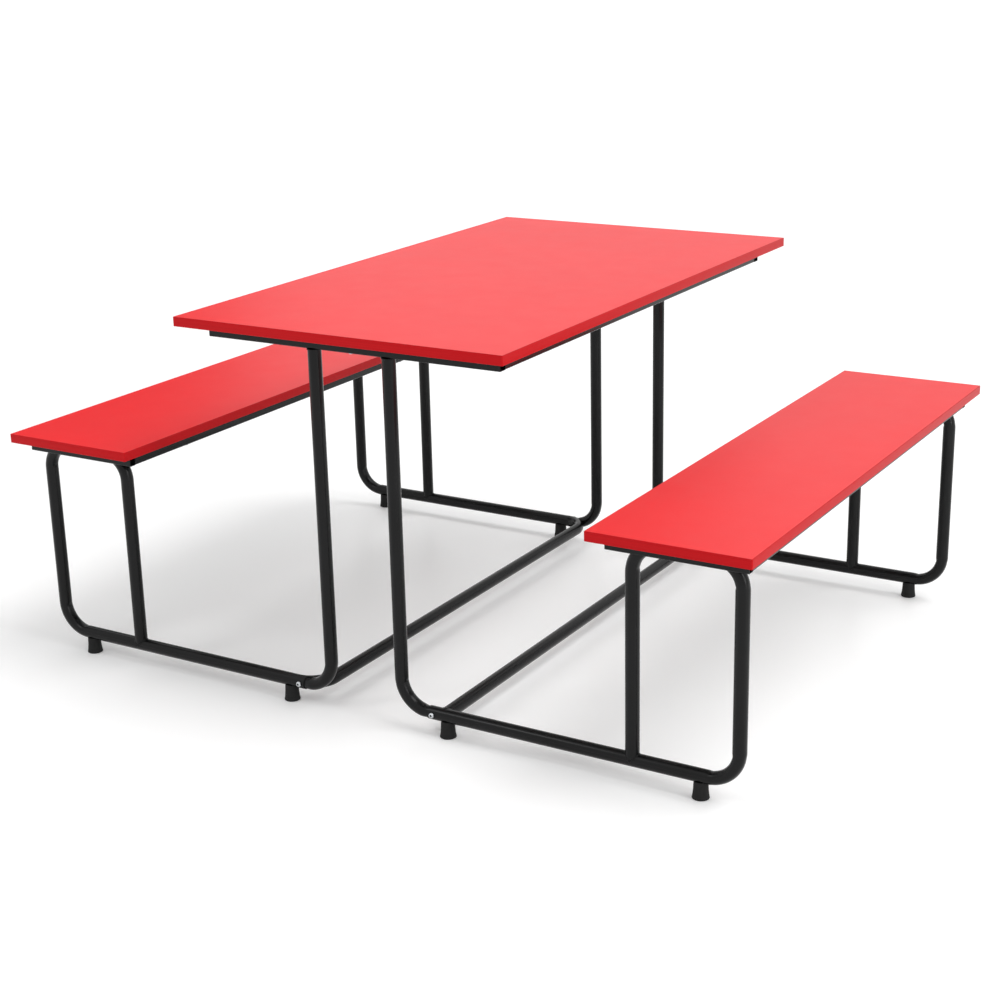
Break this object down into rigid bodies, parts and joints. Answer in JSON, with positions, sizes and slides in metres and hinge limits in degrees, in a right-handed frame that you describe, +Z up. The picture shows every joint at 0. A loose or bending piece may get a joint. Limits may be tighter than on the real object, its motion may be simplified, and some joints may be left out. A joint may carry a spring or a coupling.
{
  "type": "table with attached benches",
  "caption": "Rectangular table with two flat benches fixed to it by bent steel tube end frames, for eating or working at in pairs or groups.",
  "frame": {"origin": "on the floor, under the middle of the table top", "axes": "+X across the table from the left bench to the right bench, +Y along the length of the table top away from the viewer, +Z up"},
  "size_m": [1.596, 1.2, 0.75],
  "materials": {
    "board_face": "red melamine-faced board, fine pearl texture, satin",
    "edge_band": "red plastic edge band, semi-gloss",
    "frame_paint": "black powder coat, satin",
    "foot_rubber": "black moulded rubber, matte",
    "zinc_steel": "zinc-plated steel, bright"
  },
  "bodies": {
    "root": {"bench_frame_front_left": "frame_paint", "bench_frame_front_right": "frame_paint", "bench_frame_rear_left": "frame_paint", "bench_frame_rear_right": "frame_paint", "foot_front_left_inner": "foot_rubber", "foot_front_left_outer": "foot_rubber", "foot_front_right_inner": "foot_rubber", "foot_front_right_outer": "foot_rubber", "foot_rear_left_inner": "foot_rubber", "foot_rear_left_outer": "foot_rubber", "foot_rear_right_inner": "foot_rubber", "foot_rear_right_outer": "foot_rubber", "joint_bolt_front_left": "zinc_steel", "joint_bolt_front_right": "zinc_steel", "joint_bolt_rear_left": "zinc_steel", "joint_bolt_rear_right": "zinc_steel", "joint_nut_front_left": "zinc_steel", "joint_nut_front_right": "zinc_steel", "joint_nut_rear_left": "zinc_steel", "joint_nut_rear_right": "zinc_steel", "left_seat_bar_front": "frame_paint", "left_seat_bar_inner": "frame_paint", "left_seat_bar_outer": "frame_paint", "left_seat_bar_rear": "frame_paint", "left_seat_board": "board_face", "left_seat_edge_band": "edge_band", "left_seat_screw_1": "zinc_steel", "left_seat_screw_2": "zinc_steel", "left_seat_screw_3": "zinc_steel", "left_seat_screw_4": "zinc_steel", "right_seat_bar_front": "frame_paint", "right_seat_bar_inner": "frame_paint", "right_seat_bar_outer": "frame_paint", "right_seat_bar_rear": "frame_paint", "right_seat_board": "board_face", "right_seat_edge_band": "edge_band", "right_seat_screw_1": "zinc_steel", "right_seat_screw_2": "zinc_steel", "right_seat_screw_3": "zinc_steel", "right_seat_screw_4": "zinc_steel", "stretcher_left": "frame_paint", "stretcher_right": "frame_paint", "table_bar_front": "frame_paint", "table_bar_left": "frame_paint", "table_bar_rear": "frame_paint", "table_bar_right": "frame_paint", "table_leg_front_left": "frame_paint", "table_leg_front_right": "frame_paint", "table_leg_rear_left": "frame_paint", "table_leg_rear_right": "frame_paint", "table_screw_1": "zinc_steel", "table_screw_2": "zinc_steel", "table_screw_3": "zinc_steel", "table_screw_4": "zinc_steel", "table_screw_5": "zinc_steel", "table_screw_6": "zinc_steel", "table_top_board": "board_face", "table_top_edge_band": "edge_band"}
  },
  "joints": []
}
